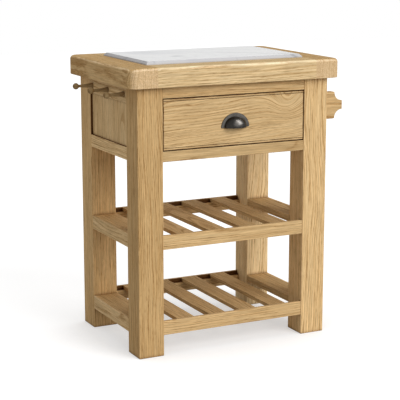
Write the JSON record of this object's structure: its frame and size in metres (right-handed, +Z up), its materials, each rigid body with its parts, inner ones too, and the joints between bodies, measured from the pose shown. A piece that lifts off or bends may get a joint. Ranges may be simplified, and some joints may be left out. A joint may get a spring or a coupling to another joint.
{
  "type": "kitchen island",
  "caption": "Free-standing wooden kitchen island with a stone inset top, a drawer with a cup handle, slatted shelves, side pegs and a towel rail.",
  "frame": {"origin": "on the floor, midway between the four legs", "axes": "+Z up, -Y towards the front where the drawer opens, +X towards the side with the towel rail"},
  "size_m": [0.795, 0.5, 0.9],
  "materials": {
    "worktop_wood": "clear oil, satin",
    "leg_wood": "clear oil, satin",
    "rail_wood": "clear oil, satin",
    "panel_wood": "clear oil, satin",
    "slat_wood": "clear oil, satin",
    "drawer_front_wood": "clear oil, satin",
    "drawer_box_wood": "planed, unfinished",
    "runner_wood": "planed, unfinished",
    "stone": "polished",
    "bronze": "dark antique bronze, satin",
    "screw_steel": "zinc plated",
    "peg_wood": "clear oil, satin",
    "towel_rail_wood": "clear oil, satin"
  },
  "bodies": {
    "case": {"back_bottom_rail": "rail_wood", "back_panel": "panel_wood", "back_top_rail": "rail_wood", "drawer_kicker_left": "runner_wood", "drawer_kicker_right": "runner_wood", "drawer_rail": "rail_wood", "drawer_runner_left": "runner_wood", "drawer_runner_right": "runner_wood", "front_top_rail": "rail_wood", "left_bottom_rail": "rail_wood", "left_panel": "panel_wood", "leg_back_left": "leg_wood", "leg_back_right": "leg_wood", "leg_front_left": "leg_wood", "leg_front_right": "leg_wood", "low_shelf_back_rail": "rail_wood", "low_shelf_front_rail": "rail_wood", "low_shelf_left_end_board": "slat_wood", "low_shelf_left_rail": "rail_wood", "low_shelf_right_end_board": "slat_wood", "low_shelf_right_rail": "rail_wood", "low_shelf_slat_1": "slat_wood", "low_shelf_slat_2": "slat_wood", "low_shelf_slat_3": "slat_wood", "low_shelf_slat_4": "slat_wood", "marble_inset": "stone", "mid_shelf_back_rail": "rail_wood", "mid_shelf_front_rail": "rail_wood", "mid_shelf_left_end_board": "slat_wood", "mid_shelf_left_rail": "rail_wood", "mid_shelf_right_end_board": "slat_wood", "mid_shelf_right_rail": "rail_wood", "mid_shelf_slat_1": "slat_wood", "mid_shelf_slat_2": "slat_wood", "mid_shelf_slat_3": "slat_wood", "mid_shelf_slat_4": "slat_wood", "peg_1": "peg_wood", "peg_2": "peg_wood", "peg_3": "peg_wood", "peg_rail": "rail_wood", "right_bottom_rail": "rail_wood", "right_panel": "panel_wood", "right_top_rail": "rail_wood", "stone_bed": "runner_wood", "top_screws": "screw_steel", "towel_bracket_back": "towel_rail_wood", "towel_bracket_dowels": "towel_rail_wood", "towel_bracket_front": "towel_rail_wood", "towel_rod": "towel_rail_wood", "worktop_back_rail": "worktop_wood", "worktop_front_rail": "worktop_wood", "worktop_left_rail": "worktop_wood", "worktop_right_rail": "worktop_wood"},
    "drawer": {"drawer_front": "drawer_front_wood", "drawer_side_left": "drawer_box_wood", "drawer_side_right": "drawer_box_wood", "drawer_back": "drawer_box_wood", "drawer_bottom": "drawer_box_wood", "cup_handle": "bronze", "handle_screws": "screw_steel"}
  },
  "joints": [
    {"name": "drawer_slide", "type": "slide", "parent": "case", "child": "drawer", "axis": [0, -1, 0], "range_m": [0, 0.3]}
  ]
}
